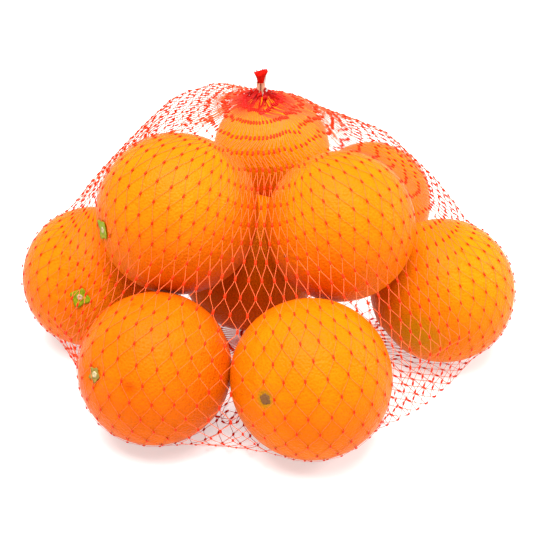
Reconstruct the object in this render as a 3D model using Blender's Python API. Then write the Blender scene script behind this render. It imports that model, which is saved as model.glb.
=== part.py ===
"""Net of oranges: a clipped net bag of ten oranges, standing on a table.

Metres, +Z up, front towards -Y, origin in the middle of the base.
The net and the fruit in it are one solid: balls of fruit with the net's web
stretched or sagging between them. The clip and the tuft of net above it are
separate pieces on the gathered neck.
"""
import math

import bmesh
import bpy
import numpy as np
from mathutils import Vector

MM = 0.001

# Fruit of the lower layer, each resting on the table: centre x, y and radius, and how far
# the net lies on the table round it, in mm.
LOWER = {
    "left": (-96.0, 5.0, 38.5, 25.0),
    "front_left": (-55.0, -78.5, 38.0, 14.0),
    "front_right": (21.5, -89.0, 39.5, 14.0),
    "right": (95.5, -9.5, 39.0, 27.0),
    "middle": (-10.0, 20.0, 38.5, 25.0),
    "back_right": (63.5, 91.0, 37.5, 25.0),
    "back_left": (-58.0, 88.0, 38.0, 25.0),
}
# Fruit of the upper layer: centre x, y, z and radius, in mm.
UPPER = {
    "upper_left": (-46.0, -23.0, 94.5, 40.5),
    "upper_right": (37.5, -26.5, 89.0, 38.5),
    "upper_back": (3.0, 84.0, 77.0, 34.5),
}
# Where springy net stands clear of the fruit, up to the gathered neck: x, y, z and radius, in mm.
SHOULDERS = {
    "crown": (-3.0, 12.0, 84.0, 60.0),
    "neck": (-3.0, 12.0, 140.0, 4.0),
    "crest": (-27.0, 52.0, 131.0, 5.0),
    "crest_right": (-8.0, 46.0, 129.5, 5.0),
    "high_left": (-49.0, 55.0, 122.5, 5.0),
    "mid_left": (-68.0, 59.0, 102.0, 5.0),
    "low_left": (-94.0, 44.0, 79.0, 5.0),
    "high_right": (34.0, 42.0, 119.0, 5.0),
    "mid_right": (65.0, 50.0, 103.0, 5.0),
    "low_right": (95.0, 42.0, 76.0, 5.0),
}
# The web: each cell is net stretched round a group, with its sag between the fruit in mm.
WEB_CELLS = (
    (9.0, ("upper_left", "left", "front_left", "middle")),
    (11.0, ("upper_left", "upper_right", "front_left", "front_right", "middle")),
    (9.0, ("upper_right", "front_right", "right", "middle")),
    (9.0, ("upper_right", "right", "back_right", "middle")),
    (9.0, ("upper_left", "left", "back_left", "middle")),
    (9.0, ("upper_back", "back_right", "back_left", "middle")),
    (14.0, ("neck", "upper_left", "upper_right")),
    (5.0, ("neck", "upper_left", "crest", "high_left", "mid_left", "low_left", "left", "back_left")),
    (5.0, ("neck", "crest", "crest_right", "high_left", "mid_left", "upper_back", "back_left")),
    (5.0, ("neck", "upper_right", "high_right", "mid_right", "low_right", "right", "back_right")),
    (5.0, ("neck", "high_right", "mid_right", "upper_back", "back_right")),
)
BASE_SAG = 9.0
STAND_OFF = 0.8 * MM            # net and knots over the skin of the fruit

HEART = Vector((-3.0, 12.0, 56.0)) * MM    # a point deep in the heap that every side faces
SIDE_ROWS = 11                  # rows of skin below the heart, by height
FOOT_CROWDING = 1.3             # over 1, those rows crowd towards the table
DOME_ROWS = 27                  # rows of skin above it, by slope
SKIN_COLUMNS = 120
TANGENT_PLANES = 4000           # how finely the stretched web is worked out
CREASE = 1.2 * MM               # how softly net turns from fruit to web

NECK_FOOT = Vector((-3.0, 12.0, 137.7)) * MM
NECK_RINGS = ((0.0, 10.5), (4.0, 10.0), (6.0, 6.0), (6.9, 3.4), (7.5, 2.1))     # rise, radius in mm
NECK_SIDES = 28
FIT_GAP = 0.3 * MM

CLIP_HEIGHT = 6.0 * MM
CLIP_WIDTH = 4.2 * MM
CLIP_DEPTH = 3.4 * MM
CLIP_CORNER = 1.0 * MM
CLIP_FLARES = ((0.0, 0.5), (0.12, 0.1), (0.5, 0.0), (0.88, 0.1), (1.0, 0.5))    # share of height, mm
SEAM_DEPTH = 0.45 * MM          # the crimp pressed into the front of the clip
SEAM_WIDTH = 1.0 * MM

TUFT_HEIGHT = 6.7 * MM
TUFT_FOOT = 1.5 * MM
TUFT_WIDTH = 3.1 * MM           # half the width of the flared top
TUFT_DEPTH = 2.0 * MM           # half its depth
TUFT_DEPTH_SHARE = 0.8          # depth over width at the foot
TUFT_PLEATS = 9
TUFT_PLEAT_DEPTH = 0.18         # at the top, as a share of the radius
TUFT_LEVELS = 4
TUFT_FLARE = 1.4                # over 1, the tuft opens late

NET_TOP = NECK_FOOT + Vector((0.0, 0.0, NECK_RINGS[-1][0] * MM))
CLIP_FOOT = NET_TOP + Vector((0.0, 0.0, FIT_GAP))
TUFT_BASE = CLIP_FOOT + Vector((0.0, 0.0, CLIP_HEIGHT + FIT_GAP))


def clear_scene():
    for item in list(bpy.data.objects):
        bpy.data.objects.remove(item, do_unlink=True)


def plain_material(name, colour, roughness, metallic=0.0):
    material = bpy.data.materials.new(name)
    material.use_nodes = True
    shader = material.node_tree.nodes["Principled BSDF"]
    shader.inputs["Base Color"].default_value = (*colour, 1.0)
    shader.inputs["Roughness"].default_value = roughness
    shader.inputs["Metallic"].default_value = metallic
    material.diffuse_color = (*colour, 1.0)
    return material


def object_from(bm, name, material, sharp_angle=40.0):
    bmesh.ops.recalc_face_normals(bm, faces=bm.faces)
    mesh = bpy.data.meshes.new(name)
    bm.to_mesh(mesh)
    bm.free()
    mesh.materials.append(material)
    mesh.shade_smooth()
    mesh.set_sharp_from_angle(angle=math.radians(sharp_angle))
    item = bpy.data.objects.new(name, mesh)
    bpy.context.scene.collection.objects.link(item)
    return item


def ball_at(name, sag=0.0):
    """Centre and radius, in metres, of a fruit drawn in by a sag, or of a bulge of net."""
    if name in LOWER:
        x, y, radius = LOWER[name][:3]
        return Vector((x, y, radius)) * MM, (radius - sag) * MM + STAND_OFF
    if name in UPPER:
        x, y, z, radius = UPPER[name]
        return Vector((x, y, z)) * MM, (radius - sag) * MM + STAND_OFF
    x, y, z, radius = SHOULDERS[name]
    return Vector((x, y, z)) * MM, radius * MM


def even_directions(count):
    """Unit vectors spread evenly over the globe, on a golden spiral."""
    step = np.arange(count) + 0.5
    height = 1.0 - 2.0 * step / count
    turn = step * math.pi * (3.0 - math.sqrt(5.0))
    level = np.sqrt(1.0 - height ** 2)
    return np.stack([level * np.cos(turn), level * np.sin(turn), height], axis=1)


def ball_reach(ball, starts, ways):
    """How far along each line it leaves a ball; zero where it misses."""
    centre, radius = ball
    towards = np.array(centre) - starts
    along = np.sum(towards * ways, axis=1)
    inside = radius ** 2 - (np.sum(towards ** 2, axis=1) - along ** 2)
    return np.where(inside > 0.0, along + np.sqrt(np.maximum(inside, 0.0)), 0.0)


def web_reach(touching, normals, starts, ways):
    """How far along each line it leaves net stretched round a group of balls or discs.

    The stretched net is what all its tangent planes leave over.
    """
    planes = np.max(touching, axis=0)
    speed = ways @ normals.T
    room = planes - starts @ normals.T
    crossing = room / np.where(np.abs(speed) < 1e-9, 1e-9, speed)
    leave = np.min(np.where(speed > 0.0, crossing, np.inf), axis=1)
    enter = np.max(np.where(speed < 0.0, crossing, -np.inf), axis=1)
    return np.where(leave > np.maximum(enter, 0.0), leave, 0.0)


def ball_planes(name, sag, normals):
    """The distances of a ball's tangent planes from the origin."""
    centre, radius = ball_at(name, sag)
    return normals @ np.array(centre) + radius


def foot_planes(name, normals):
    """The same for the disc of net on the table under one fruit."""
    x, y, _radius, foot = LOWER[name]
    level = np.hypot(normals[:, 0], normals[:, 1])
    return normals @ np.array((x * MM, y * MM, 0.0)) + foot * MM * level


def soft_max(first, second):
    """The larger of two reaches, with a small fillet where they cross."""
    apart = np.abs(first - second) / CREASE
    return np.maximum(first, second) + CREASE * np.log1p(np.exp(-apart))


def skin_lines():
    """Starts and directions of the lines the skin's points lie on, row by row."""
    turns = np.linspace(0.0, math.tau, SKIN_COLUMNS, endpoint=False)
    starts = []
    ways = []
    for row in range(SIDE_ROWS):
        height = HEART.z * (row / SIDE_ROWS) ** FOOT_CROWDING
        starts += [(HEART.x, HEART.y, height)] * SKIN_COLUMNS
        ways += [(math.cos(turn), math.sin(turn), 0.0) for turn in turns]
    for row in range(DOME_ROWS):
        slope = math.radians(90.0) * row / DOME_ROWS
        starts += [tuple(HEART)] * SKIN_COLUMNS
        ways += [(math.cos(slope) * math.cos(turn), math.cos(slope) * math.sin(turn), math.sin(slope))
                 for turn in turns]
    return np.array(starts), np.array(ways)


def skin_reach(starts, ways):
    """How far along each line it leaves the net, over the fruit and the web between them."""
    normals = even_directions(TANGENT_PLANES)
    full = [ball_reach(ball_at(name), starts, ways) for name in (*LOWER, *UPPER, "crown")]
    cells = [[ball_planes(name, sag, normals) for name in names] for sag, names in WEB_CELLS]
    cells.append([ball_planes(name, BASE_SAG, normals) for name in LOWER]
                 + [foot_planes(name, normals) for name in LOWER])
    web = [web_reach(touching, normals, starts, ways) for touching in cells]
    return soft_max(np.max(full, axis=0), np.max(web, axis=0))


def net_skin():
    """The net with its contents: rows of points where lines from the heart leave it."""
    bm = bmesh.new()
    starts, ways = skin_lines()
    points = starts + ways * skin_reach(starts, ways)[:, None]
    verts = [bm.verts.new(point) for point in points]
    rows = [verts[first:first + SKIN_COLUMNS] for first in range(0, len(verts), SKIN_COLUMNS)]
    bridge(bm, rows)
    bm.faces.new(list(reversed(rows[0])))
    up = np.array([[0.0, 0.0, 1.0]])
    top = bm.verts.new(HEART + Vector((0.0, 0.0, 1.0)) * skin_reach(np.array([HEART]), up)[0])
    for step in range(SKIN_COLUMNS):
        bm.faces.new((rows[-1][step], rows[-1][(step + 1) % SKIN_COLUMNS], top))
    return bm


def ring(bm, centre, width, depth, height, count, wave=0.0):
    """A level ring of points; wave pleats it in and out."""
    verts = []
    for step in range(count):
        turn = math.tau * step / count
        swell = 1.0 + wave * math.cos(TUFT_PLEATS * turn)
        offset = Vector((width * swell * math.cos(turn), depth * swell * math.sin(turn), height))
        verts.append(bm.verts.new(centre + offset))
    return verts


def bridge(bm, rings):
    """Skin between neighbouring rings of equal count."""
    for lower, upper in zip(rings, rings[1:]):
        for step in range(len(lower)):
            after = (step + 1) % len(lower)
            bm.faces.new((lower[step], lower[after], upper[after], upper[step]))


def loft(bm, rings):
    """Skin between rings, with a cap at each end."""
    bridge(bm, rings)
    bm.faces.new(list(reversed(rings[0])))
    bm.faces.new(rings[-1])


def neck_guide(material):
    """The gathered cone of net under the clip."""
    bm = bmesh.new()
    rings = [ring(bm, NECK_FOOT, radius * MM, radius * MM, height * MM, NECK_SIDES)
             for height, radius in NECK_RINGS]
    loft(bm, rings)
    neck = object_from(bm, "neck_guide", material)
    neck.hide_render = True
    neck.display_type = "WIRE"
    return neck


def make_net(material):
    net = object_from(net_skin(), "net_of_oranges", material)
    join = net.modifiers.new("Neck", "BOOLEAN")
    join.operation = "UNION"
    join.solver = "EXACT"
    join.object = neck_guide(material)
    return net


def rounded_outline(width, depth, corner, arc_steps=4):
    """Points of a rounded rectangle, with a crimp seam pressed into its front."""
    points = []
    for quarter in range(4):
        mid_x = (width / 2 - corner) * (1 if quarter in (0, 3) else -1)
        mid_y = (depth / 2 - corner) * (1 if quarter in (0, 1) else -1)
        if quarter == 3:
            seam = -depth / 2
            points += [(-SEAM_WIDTH / 2, seam), (0.0, seam + SEAM_DEPTH), (SEAM_WIDTH / 2, seam)]
        for step in range(arc_steps + 1):
            turn = math.radians(90.0 * (quarter + step / arc_steps))
            points.append((mid_x + corner * math.cos(turn), mid_y + corner * math.sin(turn)))
    return points


def make_clip(material):
    """A strip crimped round the neck, with both its ends flared a little."""
    bm = bmesh.new()
    rings = []
    for share, flare in CLIP_FLARES:
        outline = rounded_outline(CLIP_WIDTH + flare * MM, CLIP_DEPTH + flare * MM, CLIP_CORNER)
        rise = CLIP_HEIGHT * share
        rings.append([bm.verts.new(CLIP_FOOT + Vector((x, y, rise))) for x, y in outline])
    loft(bm, rings)
    return object_from(bm, "clip", material)


def make_tuft(material):
    """The spare net above the clip, fanned out and pleated."""
    bm = bmesh.new()
    count = TUFT_PLEATS * 4
    foot_depth = TUFT_FOOT * TUFT_DEPTH_SHARE
    rings = []
    for level in range(TUFT_LEVELS + 1):
        share = level / TUFT_LEVELS
        spread = share ** TUFT_FLARE
        width = TUFT_FOOT + (TUFT_WIDTH - TUFT_FOOT) * spread
        depth = foot_depth + (TUFT_DEPTH - foot_depth) * spread
        wave = TUFT_PLEAT_DEPTH * share
        rings.append(ring(bm, TUFT_BASE, width, depth, TUFT_HEIGHT * share, count, wave))
    loft(bm, rings)
    return object_from(bm, "tuft", material)


def main():
    clear_scene()
    net_red = plain_material("red_net_over_fruit", (0.90, 0.25, 0.02), 0.5)
    tuft_red = plain_material("red_net", (0.75, 0.03, 0.01), 0.45)
    clip_tan = plain_material("crimped_clip", (0.72, 0.52, 0.40), 0.4)
    make_net(net_red)
    make_clip(clip_tan)
    make_tuft(tuft_red)


main()
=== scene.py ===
"""Looks of a clipped net bag of ten table oranges, standing on a pale table.

The fruit are waxed oranges, each with its own stem end. A tube of stretched net is laid
over them from the gathered neck to the gathered bottom, knot by knot, then drawn as
welded knots and thin strands. A crimped strip holds the neck, with a tuft of net above it.
"""

import math

import bmesh
import bpy
import numpy as np
from mathutils import Matrix, Vector, noise
from mathutils.bvhtree import BVHTree


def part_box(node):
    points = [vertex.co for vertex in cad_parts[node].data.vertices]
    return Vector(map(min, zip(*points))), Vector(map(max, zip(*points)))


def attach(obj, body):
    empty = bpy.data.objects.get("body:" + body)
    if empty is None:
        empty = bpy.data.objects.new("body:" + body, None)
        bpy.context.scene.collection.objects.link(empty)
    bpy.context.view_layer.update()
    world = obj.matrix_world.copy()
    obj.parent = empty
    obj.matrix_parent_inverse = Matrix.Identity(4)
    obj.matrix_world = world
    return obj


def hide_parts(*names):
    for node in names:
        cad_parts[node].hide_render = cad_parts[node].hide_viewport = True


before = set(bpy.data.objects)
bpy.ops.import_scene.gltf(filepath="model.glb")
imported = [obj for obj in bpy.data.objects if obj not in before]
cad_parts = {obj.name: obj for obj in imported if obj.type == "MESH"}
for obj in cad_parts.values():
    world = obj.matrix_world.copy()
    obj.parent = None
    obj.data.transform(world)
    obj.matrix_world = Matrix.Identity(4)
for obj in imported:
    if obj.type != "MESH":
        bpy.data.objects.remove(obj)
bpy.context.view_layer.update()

MM = 0.001

# ---------------------------------------------------------------- the fruit, in mm and degrees
# Where each orange lies from the middle of the base, its radius, and which way its stem end
# looks: azimuth from +X and elevation. Then how its peel runs in colour.
FRUIT = {
    "left": dict(at=(-96.0, 5.0, 38.5), radius=38.5, stem=(-93, 16), end="green_calyx", peel="warm",
                 dents=((-112, 16, 0.8, 3.0), (-92, 38, 0.5, 3.0), (-100, 36, 0.4, 3.0))),
    "front_left": dict(at=(-55.0, -78.5, 38.0), radius=38.0, stem=(-139, 21), end="dry_button", peel="deep",
                       dents=((-105, 21, 0.9, 4.5),)),
    "front_right": dict(at=(21.5, -89.0, 39.5), radius=39.5, stem=(-127, 16), end="scar", peel="golden"),
    "right": dict(at=(95.5, -9.5, 39.0), radius=39.0, stem=(-157, -35), end="scar", peel="greenish"),
    "middle": dict(at=(-10.0, 20.0, 38.5), radius=38.5, stem=(-78, 50), end="navel", peel="shaded"),
    "back_right": dict(at=(63.5, 91.0, 37.5), radius=37.5, stem=(60, 15), end="green_calyx", peel="warm"),
    "back_left": dict(at=(-58.0, 88.0, 38.0), radius=38.0, stem=(120, 30), end="dry_button", peel="deep"),
    "upper_left": dict(at=(-45.3, -23.0, 94.3), radius=41.2, stem=(-151, 3), end="green_calyx", peel="warm"),
    "upper_right": dict(at=(37.5, -26.5, 89.0), radius=38.5, stem=(-138, -3), end="dot", peel="warm"),
    "upper_back": dict(at=(3.0, 84.0, 77.0), radius=34.5, stem=(95, -20), end="scar", peel="sunny"),
}
FRUIT_GRID = 60                 # quads along each of a fruit's six patches
CONTACT = 0.9                   # the lower fruit are pressed flat this far above the table

# ---------------------------------------------------------------- the net, in mm
NET_COLUMNS = 90
NET_ROWS = 36                   # rows of knots from the clip to the gather under the heap
SLIP_ROWS = 6.0                 # rows below the clip over which the columns slipped unevenly
SLIP_SCATTER = 0.6
TANGLE = 1.7                    # how far welds lie out of line beside and behind the neck
TANGLE_ROWS = 10.5
FOLD_AT = -78.0                 # azimuth of the fold beside the front of the neck
FOLD_SLIP = 3.0
LINK = 10.0                     # knot to knot along a strand
OPEN_LOSS = 0.009               # how much an open mesh shortens it, for each mm of width squared
NECK_RADIUS = 1.8
# Where columns crowd or thin out round the neck: azimuth, half width in degrees, extra share.
BUNCHES = ((-100.0, 34.0, 0.1), (-163.0, 9.0, 0.6), (-20.0, 11.0, 0.9), (30.0, 10.0, 0.25), (120.0, 12.0, 0.25))
BUNCH_ROWS = 11.0               # rows below the clip over which the bunches open out
GATHER_RADIUS = 3.0
NET_OVER_FRUIT = 0.6            # middle of the net over the peel
NET_OVER_TABLE = 0.6
GUIDE_INSET = 1.5               # how far the net may fall inside the solid's web
KNOT_LENGTH = 2.0
KNOT_WIDTH = 1.05
KNOT_THICKNESS = 0.8
STRAND_WIDTH = 0.20
NECK_STRAND_GAIN = 0.6          # strands that were never drawn out are thicker, under the clip
FREE_STRAND_GAIN = 0.5          # and so are strands that hang clear of the fruit
FREE_KNOT_GAIN = 0.3
STRAND_SIDES = 4
STRAND_STEPS = 5

net_low, net_high = (Vector(corner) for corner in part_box("net_of_oranges"))
clip_low, clip_high = (Vector(corner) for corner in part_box("clip"))
tuft_low, tuft_high = (Vector(corner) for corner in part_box("tuft"))
BASE = Vector(((net_low.x + net_high.x) / 2, (net_low.y + net_high.y) / 2, net_low.z))
NECK = np.array(((clip_low.x + clip_high.x) / 2, (clip_low.y + clip_high.y) / 2, clip_low.z)) / MM
HEART = np.array((NECK[0], NECK[1], 56.0))      # a point deep in the heap that every side faces
GATHER = np.array((BASE.x / MM, BASE.y / MM, 0.8))


# ---------------------------------------------------------------- small tools
def linear(colour):
    """A hex colour, as a screen shows it, in Blender's linear numbers."""
    parts = [int(colour[start:start + 2], 16) / 255.0 for start in (1, 3, 5)]
    return (*[((part + 0.055) / 1.055) ** 2.4 if part > 0.04045 else part / 12.92 for part in parts], 1.0)


def direction(azimuth, elevation):
    """Unit vector for an azimuth from +X and an elevation, in degrees."""
    turn, rise = math.radians(azimuth), math.radians(elevation)
    return np.array((math.cos(rise) * math.cos(turn), math.cos(rise) * math.sin(turn), math.sin(rise)))


def add_node(tree, kind, settings=None, **links):
    """Adds a shader node; settings go on the node, links on its sockets by name or number."""
    node = tree.nodes.new(kind)
    for name, value in (settings or {}).items():
        setattr(node, name, value)
    for name, value in links.items():
        socket = node.inputs[int(name[1:])] if name[0] == "_" else node.inputs[name.replace("_", " ")]
        if isinstance(value, bpy.types.NodeSocket):
            tree.links.new(value, socket)
        else:
            socket.default_value = value
    return node


def new_material(name):
    material = bpy.data.materials.new(name)
    material.use_nodes = True
    tree = material.node_tree
    return material, tree, tree.nodes["Principled BSDF"]


def mesh_piece(name, points, faces, material, smooth=True):
    """A mesh object from points in metres."""
    mesh = bpy.data.meshes.new(name)
    mesh.from_pydata([tuple(point) for point in points], [], [tuple(face) for face in faces])
    mesh.materials.append(material)
    if smooth:
        mesh.shade_smooth()
    piece = bpy.data.objects.new(name, mesh)
    bpy.context.scene.collection.objects.link(piece)
    return piece


# ---------------------------------------------------------------- peel and stem materials
PEELS = {
    # darker colour at the gland pits, partly the glands' own tone and partly painted shade in the pits; main shade;
    # blush
    "warm": ("#C65600", "#D26506", "#D66D08"),
    "deep": ("#BE4A00", "#CC5904", "#D26106"),
    "golden": ("#C45400", "#D06204", "#D46B06"),
    "sunny": ("#CC6A00", "#D67806", "#DA8208"),
    "greenish": ("#C65C00", "#D26C06", "#D67608"),
    # shaded: the middle fruit's own peel, a little darker and redder than warm: painted shade.
    "shaded": ("#C05200", "#D06400", "#D46C00"),
}
# Spots in the peel: a green unripe patch and a stem-end blush, which are the peel's own colour, and painted shade
# in the front_left fruit's dent and on the middle fruit's lower front. Columns: the fruit's radius in mm, azimuth and
# elevation of the spot, the distances in mm over which it fades, its strength and its shade.
PEEL_SPOTS_AND_PAINTED_SHADE = {
    "greenish": (39.0, -115, -7, 4.0, 19.0, 0.7, "#A87A08"),
    "golden": (39.5, -127, 16, 2.9, 6.6, 0.85, "#946C10"),
    # deep: painted shade, a darker red spot in the dent on front_left; back_left wears the same peel and gets the
    # same painted spot.
    "deep": (38.0, -105, 21, 0.5, 5.5, 0.6, "#B03A00"),
    # shaded: painted shade, a darker ruddy spot over the middle fruit's lower front.
    "shaded": (38.5, -90, -25, 12.0, 52.0, 0.6, "#AC2800"),
}


def waxed_peel(name, kind):
    """Orange peel, picked, washed and waxed: oil glands pit it like fine leather.

    The eye gets a saturated orange that drifts a little in shade, darker gland pits (partly the glands'
    own tone, partly painted shade in the pits), and a soft pebbled sheen where a lamp's light breaks up on the pits.
    """
    hollow, main, blush = PEELS[kind]
    material, tree, shader = new_material(name)
    place = add_node(tree, "ShaderNodeTexCoord").outputs["Object"]
    drift = add_node(tree, "ShaderNodeTexNoise", Vector=place, Scale=1 / 0.028, Detail=3.0)
    tone = add_node(tree, "ShaderNodeMapRange", Value=drift.outputs["Fac"])
    tone.inputs["From Min"].default_value = 0.35
    tone.inputs["From Max"].default_value = 0.65
    shade = add_node(tree, "ShaderNodeMix", {"data_type": "RGBA"}, Factor=tone.outputs["Result"],
                     _6=linear(main), _7=linear(blush))
    # Glands lie 1.3 mm apart on a real orange.
    glands = add_node(tree, "ShaderNodeTexVoronoi", {"feature": "SMOOTH_F1"}, Vector=place,
                      Scale=1 / 0.0013, Smoothness=0.22)
    # The colour darkens toward each gland's pit: the glands' own tone, with painted shade in the pits.
    pit_darkening = add_node(tree, "ShaderNodeMapRange", Value=glands.outputs["Distance"])
    pit_darkening.inputs["From Min"].default_value = 0.05
    pit_darkening.inputs["From Max"].default_value = 0.38
    pit_darkening.inputs["To Min"].default_value = 0.55
    pit_darkening.inputs["To Max"].default_value = 0.0
    speckled = add_node(tree, "ShaderNodeMix", {"data_type": "RGBA"}, Factor=pit_darkening.outputs["Result"],
                        _6=shade.outputs[2], _7=linear(hollow))
    colour = speckled.outputs[2]
    # Spots mix into the colour: the green patch and the blush are the peel's own, the deep and shaded spots are
    # painted shade.
    if kind in PEEL_SPOTS_AND_PAINTED_SHADE:
        radius, azimuth, elevation, full, gone, strength, spot_shade = PEEL_SPOTS_AND_PAINTED_SHADE[kind]
        spot = direction(azimuth, elevation) * radius
        patch = add_node(tree, "ShaderNodeVectorMath", {"operation": "DISTANCE"}, _0=place,
                         _1=tuple(spot * MM))
        fade = add_node(tree, "ShaderNodeMapRange", {"interpolation_type": "SMOOTHSTEP"},
                        Value=patch.outputs["Value"])
        fade.inputs["From Min"].default_value = full * MM
        fade.inputs["From Max"].default_value = gone * MM
        fade.inputs["To Min"].default_value = strength
        fade.inputs["To Max"].default_value = 0.0
        tint_and_painted_shade = add_node(tree, "ShaderNodeMix", {"data_type": "RGBA"}, Factor=fade.outputs["Result"],
                          _6=colour, _7=linear(spot_shade))
        colour = tint_and_painted_shade.outputs[2]
    tree.links.new(colour, shader.inputs["Base Color"])
    # Bump: the pits of the glands, and a slow unevenness between them.
    uneven = add_node(tree, "ShaderNodeTexNoise", Vector=place, Scale=1 / 0.0026, Detail=2.0)
    swell = add_node(tree, "ShaderNodeBump", Height=uneven.outputs["Fac"], Distance=0.0004, Strength=0.14)
    pits = add_node(tree, "ShaderNodeBump", Height=glands.outputs["Distance"], Distance=0.0005,
                    Strength=0.6, Normal=swell.outputs["Normal"])
    tree.links.new(pits.outputs["Normal"], shader.inputs["Normal"])
    shader.inputs["Roughness"].default_value = 0.28
    shader.inputs["IOR"].default_value = 1.45
    shader.inputs["Specular IOR Level"].default_value = 0.025
    return material


def green_sepal(name, dark, light):
    """Calyx: matt leaf tissue, green while fresh and brown once dry, flecked lighter and darker."""
    material, tree, shader = new_material(name)
    place = add_node(tree, "ShaderNodeTexCoord").outputs["Object"]
    fleck = add_node(tree, "ShaderNodeTexNoise", Vector=place, Scale=1 / 0.0016, Detail=4.0)
    tint = add_node(tree, "ShaderNodeMix", {"data_type": "RGBA"}, Factor=fleck.outputs["Fac"],
                    _6=linear(dark), _7=linear(light))
    tree.links.new(tint.outputs[2], shader.inputs["Base Color"])
    shader.inputs["Roughness"].default_value = 0.6
    shader.inputs["Specular IOR Level"].default_value = 0.12
    return material


def dry_stem():
    """Cut stem: dry pale wood fibre, flecked darker."""
    material, tree, shader = new_material("dry_cut_stem")
    place = add_node(tree, "ShaderNodeTexCoord").outputs["Object"]
    fleck = add_node(tree, "ShaderNodeTexNoise", Vector=place, Scale=1 / 0.0009, Detail=3.0)
    tint = add_node(tree, "ShaderNodeMix", {"data_type": "RGBA"}, Factor=fleck.outputs["Fac"],
                    _6=linear("#6B4A1E"), _7=linear("#D9C79A"))
    tree.links.new(tint.outputs[2], shader.inputs["Base Color"])
    shader.inputs["Roughness"].default_value = 0.75
    return material


def dark_scar():
    """The corky spot where an old stem or flower fell off."""
    material, tree, shader = new_material("corky_brown_scar")
    place = add_node(tree, "ShaderNodeTexCoord").outputs["Object"]
    fleck = add_node(tree, "ShaderNodeTexNoise", Vector=place, Scale=1 / 0.0008, Detail=3.0)
    tint = add_node(tree, "ShaderNodeMix", {"data_type": "RGBA"}, Factor=fleck.outputs["Fac"],
                    _6=linear("#3A1C04"), _7=linear("#86500A"))
    tree.links.new(tint.outputs[2], shader.inputs["Base Color"])
    shader.inputs["Roughness"].default_value = 0.8
    return material


# ---------------------------------------------------------------- the oranges
def even_cube(cells):
    """Unit directions on a ball in six square patches, and the quads between them."""
    bm = bmesh.new()
    bmesh.ops.create_cube(bm, size=2.0)
    bmesh.ops.subdivide_edges(bm, edges=bm.edges, cuts=cells - 1, use_grid_fill=True)
    bm.verts.index_update()
    flat = np.array([vert.co for vert in bm.verts])
    faces = [[vert.index for vert in face.verts] for face in bm.faces]
    bm.free()
    bent = np.tan(flat * math.pi / 4)
    return bent / np.linalg.norm(bent, axis=1, keepdims=True), faces


def lobes(ways, seed, count=7):
    """A slow unevenness of the whole fruit, about -1 to 1."""
    random = np.random.default_rng(seed)
    total = np.zeros(len(ways))
    for _lobe in range(count):
        axis = random.normal(size=3)
        axis /= np.linalg.norm(axis)
        total += np.cos(ways @ axis * random.uniform(1.5, 4.0) + random.uniform(0.0, math.tau))
    return total / math.sqrt(count)


def fruit_reach(name, ways):
    """How far, in mm, the peel lies from the fruit's centre along unit ways in its own frame.

    The frame's +Z looks out of the stem end.
    """
    fruit = FRUIT[name]
    seed = list(FRUIT).index(name) + 11
    from_stem = np.degrees(np.arccos(np.clip(ways[:, 2], -1.0, 1.0)))
    around = np.arctan2(ways[:, 1], ways[:, 0])
    reach = fruit["radius"] * (1.0 + 0.006 * lobes(ways, seed))
    dimple = {"navel": 2.6, "scar": 1.2, "dot": 0.4, "dry_button": 1.5, "green_calyx": 1.3}[fruit["end"]]
    reach -= dimple * np.exp(-(from_stem / 9.0) ** 2)
    furrows = 0.5 + 0.5 * np.cos(around * 7 + 1.3 * np.sin(around * 2 + seed))
    reach -= 0.28 * furrows * np.exp(-((from_stem - 14.0) / 9.0) ** 2)
    reach -= 0.5 * np.exp(-((180.0 - from_stem) / 6.0) ** 2)
    if fruit["end"] == "navel":
        reach += (1.9 - 0.7 * furrows) * np.exp(-(from_stem / 4.5) ** 2)
    for azimuth, elevation, depth, width in fruit.get("dents", ()):
        apart = np.degrees(np.arccos(np.clip(ways @ (direction(azimuth, elevation) @ np.array(to_world(name))),
                                             -1.0, 1.0)))
        reach -= depth * np.exp(-(apart / width) ** 2)
    return reach


def to_world(name):
    """Rotation whose columns are a fruit's own axes."""
    fruit = FRUIT[name]
    up = Vector(direction(*fruit["stem"]))
    return up.to_track_quat("Z", "Y").to_matrix()


def make_orange(name, ways, faces, material):
    fruit = FRUIT[name]
    turn = to_world(name)
    reach = fruit_reach(name, ways)
    seed = list(FRUIT).index(name) * 37.0
    pebbles = np.array([noise.noise(Vector(way) * 13.0 + Vector((seed, 0.0, 0.0))) for way in ways])
    reach = reach + 0.10 * pebbles
    points = (ways * reach[:, None]) @ np.array(turn).T
    above_table = points[:, 2] + fruit["at"][2]
    above_table = np.maximum(above_table, CONTACT + 0.02 * (above_table - CONTACT))
    points[:, 2] = above_table - fruit["at"][2]
    orange = mesh_piece(f"orange_{name}", points * MM, faces, material)
    orange.matrix_world = Matrix.Translation(BASE + Vector(fruit["at"]) * MM)
    return orange


def calyx_plate(bm, height, tips, inner, outer, random):
    """A calyx grown together: a plate with pointed lobes that lies on the peel, cupped at its rim."""
    lengths = [outer * random.uniform(0.82, 1.12) for _tip in range(tips)]
    lean = random.uniform(0.0, math.tau)
    steps = tips * 8
    rings = []
    for share, rise in ((0.3, 0.45), (0.55, 0.35), (0.8, 0.40), (1.0, 0.62), (0.97, 0.42), (0.7, -0.15), (0.3, -0.5)):
        ring = []
        for step in range(steps):
            place = step / 8.0
            tip = int(place) % tips
            from_tip = abs(place - int(place) - 0.5) * 2.0
            reach = inner + (lengths[tip] - inner) * (1.0 - from_tip) ** 1.3
            rib = 0.16 * math.cos(math.tau * place)
            turn = math.tau * place / tips + lean
            ring.append(bm.verts.new((reach * share * math.cos(turn), reach * share * math.sin(turn),
                                      height + rise - rib * share)))
        rings.append(ring)
    for lower, upper in zip(rings, rings[1:]):
        for step in range(steps):
            after = (step + 1) % steps
            bm.faces.new((lower[step], lower[after], upper[after], upper[step]))
    bm.faces.new(rings[0])
    bm.faces.new(list(reversed(rings[-1])))


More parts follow.
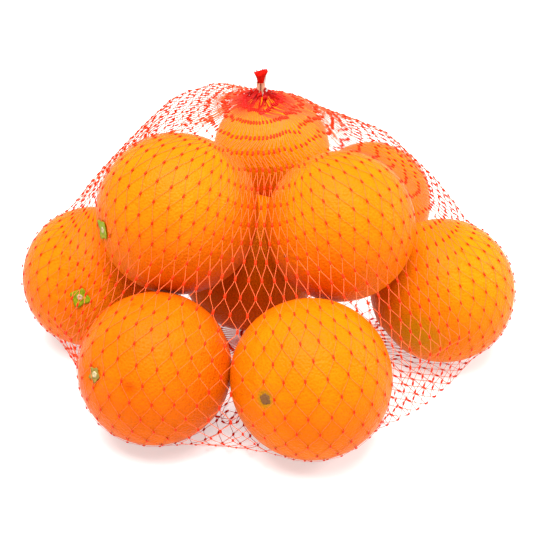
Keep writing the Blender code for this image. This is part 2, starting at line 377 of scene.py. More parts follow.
def star(bm, centre_height, tips, length, width, thickness, droop, random):
    """The lobes of a calyx, each a pointed leaf that follows the peel down."""
    for tip in range(tips):
        turn = math.tau * (tip + 0.25 * random.uniform(-1, 1)) / tips
        reach = length * random.uniform(0.8, 1.15)
        across = Vector((-math.sin(turn), math.cos(turn), 0.0))
        along = Vector((math.cos(turn), math.sin(turn), 0.0))
        rows = []
        for step, share in enumerate((0.0, 0.3, 0.6, 0.85, 1.0)):
            half = width * (0.75, 1.0, 0.85, 0.5, 0.1)[step] / 2
            height = centre_height - droop * share ** 2 + 0.25 * math.sin(share * math.pi)
            middle = along * reach * share + Vector((0.0, 0.0, height))
            edge = Vector((0.0, 0.0, 0.22))
            rows.append([middle - across * half + edge, middle + Vector((0.0, 0.0, thickness * 0.4)),
                         middle + across * half + edge, middle - Vector((0.0, 0.0, thickness))])
        rings = [[bm.verts.new(point) for point in row] for row in rows]
        for lower, upper in zip(rings, rings[1:]):
            for side in range(4):
                after = (side + 1) % 4
                bm.faces.new((lower[side], lower[after], upper[after], upper[side]))
        bm.faces.new(list(reversed(rings[0])))
        bm.faces.new(rings[-1])


def button(bm, profile, sides, random, wobble=0.08):
    """A turned button from (radius, height) pairs, a little out of round."""
    swell = [1.0 + wobble * math.sin(3 * math.tau * side / sides + random.uniform(0, 6)) for side in range(sides)]
    rings = []
    for radius, height in profile:
        rings.append([bm.verts.new((radius * swell[side] * math.cos(math.tau * side / sides),
                                    radius * swell[side] * math.sin(math.tau * side / sides), height))
                      for side in range(sides)])
    for lower, upper in zip(rings, rings[1:]):
        for side in range(sides):
            after = (side + 1) % sides
            bm.faces.new((lower[side], lower[after], upper[after], upper[side]))
    bm.faces.new(list(reversed(rings[0])))
    bm.faces.new(rings[-1])


def stem_end(name, kind, materials):
    """The pieces in a fruit's stem dimple; returns them as (suffix, bmesh, material)."""
    random = np.random.default_rng(list(FRUIT).index(name) + 200)
    floor = fruit_reach(name, np.array([[0.0, 0.0, 1.0]]))[0]
    pieces = []
    if kind in ("green_calyx", "dry_button"):
        bm = bmesh.new()
        fresh = kind == "green_calyx"
        calyx_plate(bm, floor + 0.5, 4 if fresh else 5, *((4.0, 6.4) if fresh else (2.9, 4.3)), random)
        pieces.append(("calyx", bm, materials["calyx" if fresh else "dry_calyx"]))
        bm = bmesh.new()
        profile = ((1.5, floor - 0.6), (1.6, floor + 0.8), (1.4, floor + 1.3), (1.0, floor + 1.4),
                   (0.7, floor + 1.1))
        button(bm, profile, 16, random)
        pieces.append(("stem", bm, materials["stem"]))
    elif kind == "scar":
        bm = bmesh.new()
        wide = 2.7
        profile = ((wide, floor - 0.6), (wide, floor + 0.20), (wide * 0.85, floor + 0.34),
                   (wide * 0.5, floor + 0.26), (wide * 0.2, floor + 0.15))
        button(bm, profile, 18, random, 0.18)
        pieces.append(("scar", bm, materials["scar"]))
    elif kind == "dot":
        bm = bmesh.new()
        button(bm, ((1.0, floor - 0.4), (1.05, floor + 0.15), (0.6, floor + 0.25)), 12, random, 0.2)
        pieces.append(("dot", bm, materials["scar"]))
    return pieces


def make_fruit():
    """Every orange with its stem end."""
    ways, faces = even_cube(FRUIT_GRID)
    peels = {kind: waxed_peel(f"waxed_peel_{kind}", kind) for kind in PEELS}
    ends = {"calyx": green_sepal("fresh_green_calyx", "#4E6C00", "#A0A40C"),
            "dry_calyx": green_sepal("dried_calyx", "#5C4A12", "#A08A3A"),
            "stem": dry_stem(), "scar": dark_scar()}
    for name, fruit in FRUIT.items():
        orange = make_orange(name, ways, faces, peels[fruit["peel"]])
        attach(orange, "root")
        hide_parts("net_of_oranges")
        for suffix, bm, material in stem_end(name, fruit["end"], ends):
            turn = to_world(name)
            for vert in bm.verts:
                vert.co = turn @ vert.co * MM
            bmesh.ops.recalc_face_normals(bm, faces=bm.faces)
            mesh = bpy.data.meshes.new(f"{suffix}_{name}")
            bm.to_mesh(mesh)
            bm.free()
            mesh.materials.append(material)
            mesh.shade_smooth()
            piece = bpy.data.objects.new(f"{suffix}_{name}", mesh)
            bpy.context.scene.collection.objects.link(piece)
            piece.matrix_world = orange.matrix_world.copy()
            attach(piece, "root")


# ---------------------------------------------------------------- where the net lies
GUIDE_TURNS = 180
GUIDE_SLOPES = 45
GUIDE_HEIGHTS = 24
SKIRT_HEIGHT = 13.0             # below this the net hangs free to the table
SKIRT_SLOPE = 1.25              # how far it draws in, for each mm down
SKIRT_ROW = (SKIRT_HEIGHT - 0.4) / (HEART[2] - 0.4) * GUIDE_HEIGHTS


def guide_tables():
    """How far the solid's skin lies from the heart: by slope above it, by height below it."""
    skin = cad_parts["net_of_oranges"]
    tree = BVHTree.FromPolygons([vert.co.copy() for vert in skin.data.vertices],
                                [tuple(face.vertices) for face in skin.data.polygons])
    heart = Vector(HEART) * MM

    def reach(start, way):
        hit = tree.ray_cast(start, Vector(way))
        return hit[3] / MM if hit[0] is not None else math.nan

    turns = np.linspace(0.0, math.tau, GUIDE_TURNS, endpoint=False) + 0.003
    dome = []
    for slope in np.linspace(0.002, math.pi / 2 - 0.002, GUIDE_SLOPES + 1):
        dome.append([reach(heart, (math.cos(slope) * math.cos(turn), math.cos(slope) * math.sin(turn),
                                   math.sin(slope))) for turn in turns])
    side = []
    for height in np.linspace(0.4, HEART[2], GUIDE_HEIGHTS + 1):
        start = Vector((heart.x, heart.y, height * MM))
        side.append([reach(start, (math.cos(turn), math.sin(turn), 0.0)) for turn in turns])
    return np.array(dome), np.array(side)


def lookup(table, row, turn):
    """Value of a table between its entries; its columns go round."""
    row = np.clip(row, 0.0, table.shape[0] - 1.0001)
    turn = turn % table.shape[1]
    low, left = row.astype(int), turn.astype(int)
    up, along = row - low, turn - left
    left = left % table.shape[1]
    right = (left + 1) % table.shape[1]
    lower = table[low, left] * (1 - along) + table[low, right] * along
    upper = table[low + 1, left] * (1 - along) + table[low + 1, right] * along
    return lower * (1 - up) + upper * up


def keep_on_guide(points, dome, side):
    """Moves points that fell inside the web back out to it."""
    offset = points - HEART
    turn = np.arctan2(offset[:, 1], offset[:, 0]) / math.tau * GUIDE_TURNS
    level = np.hypot(offset[:, 0], offset[:, 1])
    distance = np.linalg.norm(offset, axis=1)
    above = offset[:, 2] > 0.0
    slope = np.arctan2(np.maximum(offset[:, 2], 0.0), level) / (math.pi / 2) * GUIDE_SLOPES
    dome_reach = lookup(dome, slope, turn) - GUIDE_INSET
    height = (points[:, 2] - 0.4) / (HEART[2] - 0.4) * GUIDE_HEIGHTS
    side_reach = lookup(side, height, turn) - GUIDE_INSET
    push = np.where(above & (distance < dome_reach), dome_reach / np.maximum(distance, 1e-6), 1.0)
    points = HEART + offset * push[:, None]
    skirt = lookup(side, np.full(len(points), SKIRT_ROW), turn) - GUIDE_INSET - SKIRT_SLOPE * np.maximum(
        SKIRT_HEIGHT - points[:, 2], 0.0)
    side_reach = np.where(points[:, 2] < SKIRT_HEIGHT, np.maximum(side_reach, skirt), side_reach)
    low = ~above & (level < side_reach) & (points[:, 2] > 2.0)
    widen = np.where(low, side_reach / np.maximum(level, 1e-6), 1.0)
    points[:, 0] = HEART[0] + (points[:, 0] - HEART[0]) * widen
    points[:, 1] = HEART[1] + (points[:, 1] - HEART[1]) * widen
    return points


def keep_off_fruit(points, gap):
    """Moves points that are inside a fruit, or closer than gap, out of its peel."""
    for name, fruit in FRUIT.items():
        offset = points - np.array(fruit["at"])
        distance = np.linalg.norm(offset, axis=1)
        near = np.nonzero(distance < fruit["radius"] * 1.03 + gap)[0]
        ways = offset[near] / np.maximum(distance[near], 1e-6)[:, None]
        reach = fruit_reach(name, ways @ np.array(to_world(name))) + gap
        inside = distance[near] < reach
        points[near[inside]] = np.array(fruit["at"]) + ways[inside] * reach[inside][:, None]
    return points


def column_density(turns):
    """How closely the columns were bunched round the neck, 1 on average."""
    density = np.ones(len(turns))
    for azimuth, width, gain in BUNCHES:
        apart = (np.degrees(turns) - azimuth + 180.0) % 360.0 - 180.0
        density += gain * np.exp(-(apart / width) ** 2)
    return density


def crowd_columns(count):
    """Turns of the columns round the neck, dense where BUNCHES say."""
    turns = np.radians(np.arange(0.0, 360.0, 0.5))
    filled = np.concatenate([[0.0], np.cumsum(column_density(turns))])
    filled = filled / filled[-1] * count
    return np.interp(np.arange(count), filled, np.concatenate([turns, [math.tau]]))


def away_from_front(turns):
    """0 at the front of the neck, where the columns lie in order, to 1 at its sides and back."""
    apart = (np.degrees(turns) + 275.0) % 360.0 - 180.0
    return 1.0 - np.exp(-(apart / 52.0) ** 2)


def slip_columns():
    """How far each half column was pulled through the clip, in mm: smooth, with one fold."""
    share = np.arange(2 * NET_COLUMNS) / (2 * NET_COLUMNS)
    slip = 1.3 * np.sin(math.tau * (3 * share + 0.1)) + 0.8 * np.sin(math.tau * (7 * share + 0.6))
    slip += SLIP_SCATTER * np.random.default_rng(5).normal(size=2 * NET_COLUMNS)
    turns = np.degrees(crowd_columns(2 * NET_COLUMNS))
    past_fold = (turns - FOLD_AT + 180.0) % 360.0 - 180.0
    slip *= 0.7 + 1.3 * away_from_front(np.radians(turns))
    slip += FOLD_SLIP * np.where((past_fold > 0.0) & (past_fold < 60.0), 1.0 - past_fold / 60.0, 0.0)
    return slip


def first_lay(dome, side):
    """Rows of knots down the solid's skin from the neck to the gather underneath."""
    knots = np.zeros((NET_ROWS + 1, NET_COLUMNS, 3))
    slopes = np.radians(np.linspace(89.5, 0.0, 60))
    heights = np.linspace(HEART[2], 0.6, 30)[1:]
    slip = slip_columns()
    for half, turn in enumerate(crowd_columns(2 * NET_COLUMNS)):
        share = turn / math.tau
        flat = np.array((math.cos(turn), math.sin(turn), 0.0))
        up = np.array((0.0, 0.0, 1.0))
        reach = lookup(dome, slopes / (math.pi / 2) * GUIDE_SLOPES, np.full(60, share * GUIDE_TURNS))
        crown = HEART + reach[:, None] * (np.cos(slopes)[:, None] * flat + np.sin(slopes)[:, None] * up)
        rows = (heights - 0.4) / (HEART[2] - 0.4) * GUIDE_HEIGHTS
        reach = lookup(side, rows, np.full(29, share * GUIDE_TURNS))
        flank = np.array((HEART[0], HEART[1], 0.0)) + reach[:, None] * flat + heights[:, None] * up
        gather = GATHER + GATHER_RADIUS * flat
        under = [flank[-1] * (1 - part) + gather * part for part in np.linspace(0.0, 1.0, 30)[1:]]
        path = np.concatenate([crown, flank, under])
        length = np.concatenate([[0.0], np.cumsum(np.linalg.norm(np.diff(path, axis=0), axis=1))])
        for row in range(half % 2, NET_ROWS + 1, 2):
            loose = math.exp(-(row / SLIP_ROWS) ** 2) if row else 0.0
            place = length[-1] * row / NET_ROWS + loose * slip[half]
            knots[row, half // 2] = [np.interp(place, length, path[:, axis]) for axis in range(3)]
    return knots


def net_links():
    """Index pairs of knots joined by strands, top knot first, and by being side by side."""
    leaning_right, leaning_left, beside = [], [], []
    for row in range(NET_ROWS):
        for column in range(NET_COLUMNS):
            this = row * NET_COLUMNS + column
            right = (column + row % 2) % NET_COLUMNS
            left = (right - 1) % NET_COLUMNS
            leaning_right.append((this, (row + 1) * NET_COLUMNS + right))
            leaning_left.append((this, (row + 1) * NET_COLUMNS + left))
            if row:
                beside.append((this, row * NET_COLUMNS + (column + 1) % NET_COLUMNS))
    return np.array(leaning_right), np.array(leaning_left), np.array(beside)


def spread(indices, moves, count):
    """Sums moves onto the knots they belong to."""
    return np.stack([np.bincount(indices, moves[:, axis], minlength=count) for axis in range(3)], axis=1)


def settle(knots, dome, side, rounds):
    """Draws the net tight: strands keep their length, and nothing passes the fruit or table."""
    right, left, beside = net_links()
    links = np.concatenate([right, left])
    top, bottom = links[:, 0], links[:, 1]
    points = knots.reshape(-1, 3).copy()
    count = len(points)
    turns = crowd_columns(2 * NET_COLUMNS)
    turns = turns[::2]
    slip = slip_columns()[::2]
    out = NECK_RADIUS + np.maximum(slip, 0.0)
    neck = NECK + np.stack([out * np.cos(turns), out * np.sin(turns),
                            np.maximum(-slip, 0.0) - 0.15 * np.maximum(slip, 0.0)], axis=1)
    tightness = column_density(turns)[None, :] ** np.exp(-(np.arange(NET_ROWS + 1) / BUNCH_ROWS) ** 2)[:, None]
    tightness = tightness.reshape(-1)[beside[:, 0]][:, None]
    gather = GATHER + GATHER_RADIUS * np.stack([np.cos(turns), np.sin(turns), 0 * turns], axis=1)
    for turn in range(rounds):
        inward = points - HEART
        points -= 0.03 * inward / np.linalg.norm(inward, axis=1, keepdims=True)
        points[:, 2] -= 0.02
        gap = points[beside[:, 1]] - points[beside[:, 0]]
        width = np.zeros(count)
        width[beside[:, 0]] = np.linalg.norm(gap, axis=1)
        way = points[bottom] - points[top]
        length = np.linalg.norm(way, axis=1)
        open_width = np.minimum(0.5 * (width[top] + width[bottom]), LINK)
        excess = length - (LINK - OPEN_LOSS * open_width ** 2)
        excess = np.where(excess > 0.0, excess, 0.3 * excess)
        move = way / length[:, None] * (0.5 * excess)[:, None]
        points += 0.4 * (spread(top, move, count) - spread(bottom, move, count))
        gap = points[beside[:, 1]] - points[beside[:, 0]]
        gap *= tightness
        points += 0.03 * (spread(beside[:, 0], gap, count) - spread(beside[:, 1], gap, count))
        points[:NET_COLUMNS] = neck
        points[-NET_COLUMNS:] = gather
        if turn % 4 == 0:
            points = keep_on_guide(points, dome, side)
        points = keep_off_fruit(points, NET_OVER_FRUIT)
        points[:, 2] = np.maximum(points[:, 2], NET_OVER_TABLE)
    return points, right, left


# ---------------------------------------------------------------- the net's meshes
def knot_frames(points):
    """For each knot, the way its weld runs down the net and the way out of the net."""
    grid = points.reshape(NET_ROWS + 1, NET_COLUMNS, 3)
    along = np.zeros_like(grid)
    for row in range(NET_ROWS + 1):
        above, below = max(row - 1, 0), min(row + 1, NET_ROWS)
        shift = 1 if row % 2 == 0 else -1
        upper = grid[above] + (np.roll(grid[above], shift, axis=0) if above != row else grid[above])
        lower = grid[below] + (np.roll(grid[below], shift, axis=0) if below != row else grid[below])
        along[row] = lower - upper
    across = np.roll(grid, -1, axis=1) - np.roll(grid, 1, axis=1)
    along /= np.maximum(np.linalg.norm(along, axis=2, keepdims=True), 1e-6)
    along[0] = along[0] * 0.35 + np.array((0.0, 0.0, -0.65))
    out = np.cross(across, along)
    out /= np.maximum(np.linalg.norm(out, axis=2, keepdims=True), 1e-6)
    flip = np.sign(np.sum(out * (grid - HEART), axis=2, keepdims=True))
    out = out * np.where(flip == 0.0, 1.0, flip)
    return along.reshape(-1, 3), out.reshape(-1, 3)


def tubes(paths, outs, widths, thicknesses, sides):
    """Joined tubes along many paths of equal count: points and quads with end caps."""
    count, steps, _axes = paths.shape
    way = np.gradient(paths, axis=1)
    way /= np.maximum(np.linalg.norm(way, axis=2, keepdims=True), 1e-9)
    side = np.cross(way, outs)
    side /= np.maximum(np.linalg.norm(side, axis=2, keepdims=True), 1e-9)
    up = np.cross(side, way)
    rings = []
    for corner in range(sides):
        turn = math.tau * (corner + 0.5) / sides
        rings.append(paths + side * (math.cos(turn) * widths)[..., None]
                     + up * (math.sin(turn) * thicknesses)[..., None])
    points = np.stack(rings, axis=2).reshape(-1, 3)
    first = (np.arange(count) * steps * sides)[:, None, None]
    step = (np.arange(steps - 1) * sides)[None, :, None]
    corner = np.arange(sides)[None, None, :]
    after = (corner + 1) % sides
    quads = np.stack([first + step + corner, first + step + after,
                      first + step + sides + after, first + step + sides + corner], axis=-1).reshape(-1, 4)
    cap = np.arange(sides)
    starts = (np.arange(count) * steps * sides)[:, None] + cap[::-1][None, :]
    ends = (np.arange(count) * steps * sides + (steps - 1) * sides)[:, None] + cap[None, :]
    return points, quads, starts, ends


def tube_piece(name, paths, outs, width, thickness, sides, material):
    """One object of many tubes; width and thickness are halves, along each path."""
    shape = paths.shape[:2]
    widths = np.broadcast_to(width, shape)
    thicknesses = np.broadcast_to(thickness, shape)
    points, quads, starts, ends = tubes(paths, outs, widths, thicknesses, sides)
    points = points * MM + np.array(BASE)
    faces = [*map(tuple, quads.tolist()), *map(tuple, starts.tolist()), *map(tuple, ends.tolist())]
    return mesh_piece(name, points.tolist(), faces, material)


def strand_paths(points, links, along, out, lean):
    """A strand leaves its upper knot along the weld and curves over to the lower one."""
    top, bottom = links[:, 0], links[:, 1]
    inner = KNOT_LENGTH / 2 - 0.5
    sideways = np.cross(along, out)
    apart = KNOT_WIDTH * 0.22 * lean
    start = points[top] + along[top] * inner + sideways[top] * apart
    end = points[bottom] - along[bottom] * inner - sideways[bottom] * apart
    span = np.linalg.norm(end - start, axis=1, keepdims=True)
    pull = (0.75 - 0.6 * np.exp(-(top // NET_COLUMNS / 2.0) ** 2))[:, None]
    shares = np.linspace(0.0, 1.0, STRAND_STEPS + 1)
    rows = []
    for share in shares:
        h1 = 2 * share ** 3 - 3 * share ** 2 + 1
        h2 = share ** 3 - 2 * share ** 2 + share
        h3 = -2 * share ** 3 + 3 * share ** 2
        h4 = share ** 3 - share ** 2
        rows.append(h1 * start + h2 * along[top] * span * pull + h3 * end + h4 * along[bottom] * span * pull)
    paths = np.stack(rows, axis=1)
    flat = paths.reshape(-1, 3)
    flat = keep_off_fruit(flat, STRAND_WIDTH * 0.7)
    flat[:, 2] = np.maximum(flat[:, 2], STRAND_WIDTH)
    outs = np.stack([out[top] * (1 - share) + out[bottom] * share for share in shares], axis=1)
    return flat.reshape(paths.shape), outs


def welded_net(name, deep, pale, gathered, gathered_pale):
    """Polyethylene net, extruded through turning dies and drawn out warm.

    The eye gets a bright red that stays saturated where the film is thick, at the welds,
    and lets light through where the strands were drawn thin.
    """
    material, tree, shader = new_material(name)
    place = add_node(tree, "ShaderNodeTexCoord").outputs["Object"]
    drift = add_node(tree, "ShaderNodeTexNoise", Vector=place, Scale=1 / 0.004, Detail=2.0)
    spread_tint = add_node(tree, "ShaderNodeMix", {"data_type": "RGBA"}, Factor=drift.outputs["Fac"],
                           _6=linear(deep), _7=linear(pale))
    bunch_tint = add_node(tree, "ShaderNodeMix", {"data_type": "RGBA"}, Factor=drift.outputs["Fac"],
                          _6=linear(gathered), _7=linear(gathered_pale))
    from_clip = add_node(tree, "ShaderNodeVectorMath", {"operation": "DISTANCE"}, _0=place,
                         _1=tuple(NECK * MM + np.array(BASE)))
    bunched = add_node(tree, "ShaderNodeMapRange", {"interpolation_type": "SMOOTHSTEP"},
                       Value=from_clip.outputs["Value"])
    bunched.inputs["From Min"].default_value = 0.008
    bunched.inputs["From Max"].default_value = 0.027
    bunched.inputs["To Min"].default_value = 1.0
    bunched.inputs["To Max"].default_value = 0.0
    tint = add_node(tree, "ShaderNodeMix", {"data_type": "RGBA"}, Factor=bunched.outputs["Result"],
                    _6=spread_tint.outputs[2], _7=bunch_tint.outputs[2])
    tree.links.new(tint.outputs[2], shader.inputs["Base Color"])
    shader.inputs["Roughness"].default_value = 0.42
    shader.inputs["IOR"].default_value = 1.51
    shader.inputs["Specular IOR Level"].default_value = 0.1
    return material


def tangle_neck(points, along):
    """Welds just under the clip lie out of line, more so where the net was bunched."""
    offset = points - NECK
    random = np.random.default_rng(21)
    row = np.repeat(np.arange(NET_ROWS + 1), NET_COLUMNS)
    turns = np.arctan2(offset[:, 1], offset[:, 0])
    amount = (0.25 + TANGLE * away_from_front(turns)) * np.exp(-(row / TANGLE_ROWS) ** 2) * (row > 0)
    points = points + along * (random.normal(size=len(points)) * amount)[:, None]
    return keep_off_fruit(points, NET_OVER_FRUIT)


def hanging_free(points):
    """0 where the net lies on a fruit, to 1 where it hangs clear and was drawn out less."""
    nearest = np.full(points.shape[:-1], np.inf)
    for fruit in FRUIT.values():
        distance = np.linalg.norm(points - np.array(fruit["at"]), axis=-1) - fruit["radius"]
        nearest = np.minimum(nearest, distance)
    return np.clip((nearest - 1.5) / 7.0, 0.0, 1.0)


def make_net():
    dome, side = guide_tables()
    knots = first_lay(dome, side)
    points, right, left = settle(knots, dome, side, 400)
    along, out = knot_frames(points)
    points = tangle_neck(points, along)
    weld = welded_net("red_net_weld", "#D22200", "#E0340A", "#960400", "#AC0C02")
    drawn = welded_net("red_net_strand", "#E65628", "#EE6E42", "#8C0300", "#A80C02")
    pieces = []
    for name, links, lean in (("net_strands_right", right, -1.0), ("net_strands_left", left, 1.0)):
        paths, outs = strand_paths(points, links, along, out, lean)
        from_neck = np.linalg.norm(paths - NECK, axis=2)
        slack = NECK_STRAND_GAIN * np.exp(-(from_neck / 15.0) ** 2) + FREE_STRAND_GAIN * hanging_free(paths)
        half = STRAND_WIDTH / 2 * (1.0 + slack)
        pieces.append(tube_piece(name, paths, outs, half, half, STRAND_SIDES, drawn))
    shares = np.array((-1.0, -0.55, 0.0, 0.55, 1.0))
    swell = np.array((0.45, 0.95, 1.0, 0.95, 0.45)) * KNOT_WIDTH / 2
    size = (1.0 + FREE_KNOT_GAIN * hanging_free(points))[:, None]
    swell = swell[None, :] * size
    paths = points[:, None, :] + along[:, None, :] * (shares[None, :] * size * KNOT_LENGTH / 2)[:, :, None]
    flat = paths.reshape(-1, 3)
    flat = keep_off_fruit(flat, KNOT_THICKNESS * 0.6)
    flat[:, 2] = np.maximum(flat[:, 2], KNOT_THICKNESS * 0.5)
    paths = flat.reshape(paths.shape)
    outs = np.repeat(out[:, None, :], len(shares), axis=1)
    pieces.append(tube_piece("net_knots", paths, outs, swell, swell * KNOT_THICKNESS / KNOT_WIDTH, 5, weld))
    for piece in pieces:
        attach(piece, "root")
        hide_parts("net_of_oranges")


# ---------------------------------------------------------------- clip and tuft
def crimped_strip():
    """Soft aluminium strip with a tan lacquer, folded round the neck and crimped in a press.

    The eye gets a warm satin band, brighter along its bent edges, grey where the cut ends show.
    """
    material, tree, shader = new_material("crimped_lacquered_strip")
    place = add_node(tree, "ShaderNodeTexCoord").outputs["Object"]
    streak = add_node(tree, "ShaderNodeMapping", Vector=place, Scale=(1.0, 1.0, 0.12))
    rub = add_node(tree, "ShaderNodeTexNoise", Vector=streak.outputs["Vector"], Scale=1 / 0.0007, Detail=3.0)
    tint = add_node(tree, "ShaderNodeMix", {"data_type": "RGBA"}, Factor=rub.outputs["Fac"],
                    _6=linear("#B47552"), _7=linear("#DEB496"))
    tree.links.new(tint.outputs[2], shader.inputs["Base Color"])
    shader.inputs["Roughness"].default_value = 0.38
    shader.inputs["Metallic"].default_value = 0.25
    return material


def bare_strip():
    """The strip's cut ends: bare rolled aluminium, pale grey and satin."""
    material, tree, shader = new_material("bare_strip_end")
    place = add_node(tree, "ShaderNodeTexCoord").outputs["Object"]
    rub = add_node(tree, "ShaderNodeTexNoise", Vector=place, Scale=1 / 0.0009, Detail=2.0)
    tint = add_node(tree, "ShaderNodeMix", {"data_type": "RGBA"}, Factor=rub.outputs["Fac"],
                    _6=linear("#A9A8A4"), _7=linear("#D6D4CE"))
    tree.links.new(tint.outputs[2], shader.inputs["Base Color"])
    shader.inputs["Roughness"].default_value = 0.45
    shader.inputs["Metallic"].default_value = 0.4
    return material


CLIP_WALL = 0.38                # mm
CLIP_CREASE = 0.95              # how deep the strip's two edges are pressed in at the front
CLIP_CREASE_WIDTH = 0.42


def clip_outline(width, depth, steps=44):
    """Plan of the strip's outer face, from one pressed-in edge round the back to the other."""
    points = []
    for step in range(steps + 1):
        turn = math.radians(-87.0) + math.radians(354.0) * step / steps
        cos, sin = math.cos(turn), math.sin(turn)
        reach = (abs(cos / (width / 2)) ** 3.2 + abs(sin / (depth / 2)) ** 3.2) ** (-1 / 3.2)
        x, y = reach * cos, reach * sin
        if y < 0.0:
            y += CLIP_CREASE * math.exp(-(x / CLIP_CREASE_WIDTH) ** 2)
        points.append((x, y))
    return points


def strip_mesh(rows, wall):
    """A strip with thickness from rows of plan points: inner face drawn in towards the middle."""
    bm = bmesh.new()
    grid = []
    for row in rows:
        outer = [bm.verts.new(point) for point in row]
        middle = Vector((0.0, 0.0, 0.0))
        for point in row:
            middle += Vector(point)
        middle /= len(row)
        inner = []
        for point in row:
            inward = Vector((middle.x - point[0], middle.y - point[1], 0.0))
            inner.append(bm.verts.new(Vector(point) + inward.normalized() * wall))
        grid.append((outer, inner))
    last = len(rows) - 1
    for (outer, inner), (outer_up, inner_up) in zip(grid, grid[1:]):
        for step in range(len(outer) - 1):
            bm.faces.new((outer[step], outer[step + 1], outer_up[step + 1], outer_up[step]))
            bm.faces.new((inner[step + 1], inner[step], inner_up[step], inner_up[step + 1]))
        bm.faces.new((inner[0], outer[0], outer_up[0], inner_up[0]))
        bm.faces.new((outer[-1], inner[-1], inner_up[-1], outer_up[-1]))
    for level, flip in ((0, False), (last, True)):
        outer, inner = grid[level]
        for step in range(len(outer) - 1):
            face = [outer[step + 1], outer[step], inner[step], inner[step + 1]]
            bm.faces.new(face[::-1] if flip else face)
    return bm


def ribbon(path, width, thickness, across):
    """A bent flat tongue along a path of points in mm."""
    bm = bmesh.new()
    rings = []
    across = Vector(across).normalized()
    for step, point in enumerate(path):
        before, after = path[max(step - 1, 0)], path[min(step + 1, len(path) - 1)]
        way = (Vector(after) - Vector(before)).normalized()
        up = way.cross(across).normalized()
        share = 1.0 if step < len(path) - 1 else 0.7
        rings.append([bm.verts.new(Vector(point) + across * side * width / 2 * share + up * lift * thickness / 2)
                      for side, lift in ((-1, -1), (1, -1), (1, 1), (-1, 1))])
    for lower, upper in zip(rings, rings[1:]):
        for side in range(4):
            after = (side + 1) % 4
            bm.faces.new((lower[side], lower[after], upper[after], upper[side]))
    bm.faces.new(list(reversed(rings[0])))
    bm.faces.new(rings[-1])
    return bm


def finish_piece(name, bm, material, scale, place, smooth_angle=35.0):
    """Turns a bmesh in mm into an object."""
    bmesh.ops.recalc_face_normals(bm, faces=bm.faces)
    for vert in bm.verts:
        vert.co = Vector(place) + vert.co * scale
    mesh = bpy.data.meshes.new(name)
    bm.to_mesh(mesh)
    bm.free()
    mesh.materials.append(material)
    mesh.shade_smooth()
    mesh.set_sharp_from_angle(angle=math.radians(smooth_angle))
    piece = bpy.data.objects.new(name, mesh)
    bpy.context.scene.collection.objects.link(piece)
    return piece


def make_clip():
    middle = (clip_low + clip_high) / 2
    foot = Vector((middle.x, middle.y, clip_low.z))
    width = (clip_high.x - clip_low.x) / MM - 0.5
    depth = (clip_high.y - clip_low.y) / MM - 0.5
    height = (clip_high.z - clip_low.z) / MM
    levels = ((0.0, 0.30), (0.08, 0.08), (0.3, 0.0), (0.55, -0.05), (0.8, 0.0), (0.93, 0.08), (1.0, 0.26))
    rows = []
    for share, flare in levels:
        slant = 0.16 * (1.0 - share)
        row = [(x, y, height * share - slant * x) for x, y in clip_outline(width + flare, depth + flare)]
        rows.append(row)
    lacquer, bare = crimped_strip(), bare_strip()
    band = finish_piece("clip_band", strip_mesh(rows, CLIP_WALL), lacquer, MM, foot)
    tongue_path = [(width / 2 - 0.5, -0.2, height * 0.35), (width / 2 - 0.15, -0.35, height * 0.8),
                   (width / 2 + 0.05, -0.4, height * 1.1), (width / 2 + 0.35, -0.45, height * 1.4),
                   (width / 2 + 0.75, -0.5, height * 1.72)]
    tongue = finish_piece("clip_tongue", ribbon(tongue_path, 0.9, 0.3, (1.0, 0.2, -0.2)), bare, MM, foot)
    tab_path = [(-0.2, -depth / 2 - 0.35, -0.25), (0.9, -depth / 2 - 0.25, 0.0), (2.0, -depth / 2 + 0.1, 0.9),
                (2.9, -depth / 2 + 0.5, 1.9), (3.7, -depth / 2 + 0.9, 3.0)]
    tab = finish_piece("clip_tab", ribbon(tab_path, 1.0, 0.3, (-0.5, 0.1, 0.9)), bare, MM, foot)
    for piece in (band, tongue, tab):
        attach(piece, "root")
    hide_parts("clip")


TUFT_STRANDS = 70
TUFT_STRAND = 0.62              # mm, several films of net pressed together


def gathered_net():
    """Many layers of the same net pressed together in the clip: deep red, hardly any light through."""
    material, tree, shader = new_material("gathered_red_net")
    place = add_node(tree, "ShaderNodeTexCoord").outputs["Object"]
    drift = add_node(tree, "ShaderNodeTexNoise", Vector=place, Scale=1 / 0.0012, Detail=3.0)
    tint = add_node(tree, "ShaderNodeMix", {"data_type": "RGBA"}, Factor=drift.outputs["Fac"],
                    _6=linear("#9E0300"), _7=linear("#D01402"))
    tree.links.new(tint.outputs[2], shader.inputs["Base Color"])
    shader.inputs["Roughness"].default_value = 0.45
    shader.inputs["IOR"].default_value = 1.51
    shader.inputs["Specular IOR Level"].default_value = 0.07
    return material


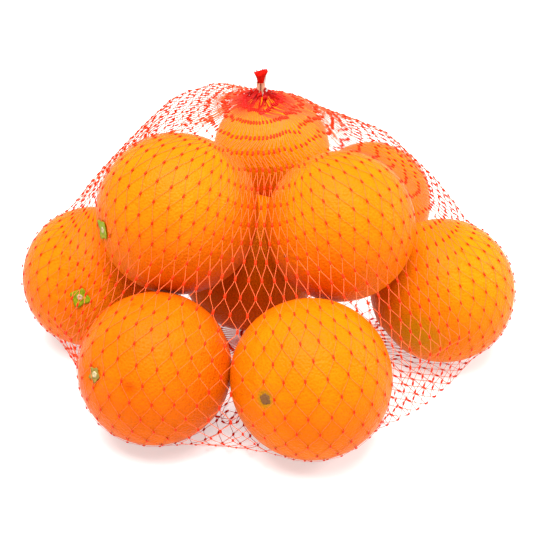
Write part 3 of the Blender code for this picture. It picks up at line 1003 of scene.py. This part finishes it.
def make_tuft():
    """The spare net above the clip: pleated core, loose strands round it, cut at uneven heights."""
    random = np.random.default_rng(8)
    middle = (tuft_low + tuft_high) / 2 / MM - BASE / MM
    base = np.array((middle.x, middle.y, tuft_low.z / MM - BASE.z / MM))
    half_width = (tuft_high.x - tuft_low.x) / MM / 2
    half_depth = (tuft_high.y - tuft_low.y) / MM / 2
    height = (tuft_high.z - tuft_low.z) / MM
    red = gathered_net()
    paths, outs = [], []
    shares = np.linspace(0.0, 1.0, 7)
    for strand in range(TUFT_STRANDS):
        turn = math.tau * strand * 0.381966
        ring = math.sqrt((strand + 0.5) / TUFT_STRANDS)
        foot = np.array((1.45 * ring * math.cos(turn), 1.15 * ring * math.sin(turn), -1.2))
        rise = height * (0.86 + 0.10 * math.cos(turn * 1.0 - 0.4) + 0.06 * random.uniform(-1, 1))
        rise -= 0.5 * math.exp(-((ring * math.cos(turn) + 0.15) / 0.35) ** 2)
        wide = (half_width + 0.5 - TUFT_STRAND / 2) * ring ** 0.8 * random.uniform(0.92, 1.0)
        deep = (half_depth - TUFT_STRAND / 2) * ring
        tip = np.array((wide * math.cos(turn), deep * math.sin(turn), rise))
        lean = shares[:, None] ** 1.5
        path = foot + (tip - foot) * np.concatenate([lean, lean, shares[:, None]], axis=1)
        path[:, :2] += 0.12 * np.sin(shares * 9.0 + strand)[:, None] * shares[:, None]
        paths.append(path + base)
        outs.append(np.repeat(np.array([[math.cos(turn), math.sin(turn), 0.3]]), len(shares), axis=0))
    swell = np.array((0.8, 0.9, 1.0, 1.1, 1.15, 1.2, 1.0)) * TUFT_STRAND / 2
    tuft = tube_piece("net_tuft", np.array(paths), np.array(outs), swell[None, :], swell[None, :] * 0.75, 6, red)
    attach(tuft, "root")
    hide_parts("tuft")
    # The bundle inside the clip, down to where the columns part.
    neck_paths, neck_outs = [], []
    shares = np.linspace(0.0, 1.0, 5)
    for strand in range(TUFT_STRANDS):
        turn = math.tau * strand * 0.381966 + 1.0
        ring = math.sqrt((strand + 0.5) / TUFT_STRANDS)
        top = np.array((1.45 * ring * math.cos(turn), 1.15 * ring * math.sin(turn), 1.5))
        foot = np.array((2.6 * ring * math.cos(turn), 2.6 * ring * math.sin(turn), -1.0))
        path = foot + (top - foot) * np.stack([shares ** 0.6, shares ** 0.6, shares], axis=1)
        neck_paths.append(path + NECK)
        neck_outs.append(np.repeat(np.array([[math.cos(turn), math.sin(turn), 0.3]]), len(shares), axis=0))
    bundle = tube_piece("gathered_neck", np.array(neck_paths), np.array(neck_outs),
                        np.full((1, 5), TUFT_STRAND / 2), np.full((1, 5), TUFT_STRAND / 2), 6, red)
    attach(bundle, "root")
    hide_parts("net_of_oranges")


# ---------------------------------------------------------------- the stage
def pale_table():
    """Matt white table, so bright that it loses its edges."""
    material, tree, shader = new_material("matt_white_table")
    shader.inputs["Base Color"].default_value = linear("#C6C6C6")
    shader.inputs["Roughness"].default_value = 0.7
    shader.inputs["Specular IOR Level"].default_value = 0.2
    shader.inputs["Emission Color"].default_value = linear("#FFFFFF")
    shader.inputs["Emission Strength"].default_value = 0.52
    half = 30.0
    corners = [(-half, -half, 0.0), (half, -half, 0.0), (half, half, 0.0), (-half, half, 0.0)]
    table = mesh_piece("table", corners, [(0, 1, 2, 3)], material, smooth=False)


def soft_lamp(name, place, aim, width, height, power):
    lamp = bpy.data.lights.new(name, "AREA")
    lamp.shape = "RECTANGLE"
    lamp.size = width
    lamp.size_y = height
    lamp.energy = power
    item = bpy.data.objects.new(name, lamp)
    bpy.context.scene.collection.objects.link(item)
    item.location = place
    item.rotation_euler = (Vector(aim) - Vector(place)).to_track_quat("-Z", "Y").to_euler()


def light_studio():
    world = bpy.data.worlds.new("studio")
    bpy.context.scene.world = world
    world.use_nodes = True
    sky = world.node_tree.nodes["Background"]
    sky.inputs["Color"].default_value = linear("#FFFFFF")
    sky.inputs["Strength"].default_value = 0.42
    middle = (0.0, 0.0, 0.06)
    soft_lamp("overhead_softbox", (-0.1, -0.22, 1.3), middle, 1.2, 1.0, 52.0)
    soft_lamp("right_softbox", (1.15, 0.2, 0.55), middle, 0.3, 0.4, 10.0)
    bpy.context.scene.view_settings.view_transform = "Standard"


def set_camera():
    camera = bpy.data.cameras.new("camera")
    camera.lens = 79.8
    camera.sensor_width = 36.0
    item = bpy.data.objects.new("camera", camera)
    bpy.context.scene.collection.objects.link(item)
    item.location = BASE + Vector((0.0, -0.548, 0.392))
    item.rotation_euler = (math.radians(57.9), 0.0, 0.0)
    bpy.context.scene.camera = item


set_camera()
light_studio()
pale_table()
make_fruit()
make_net()
make_clip()
make_tuft()
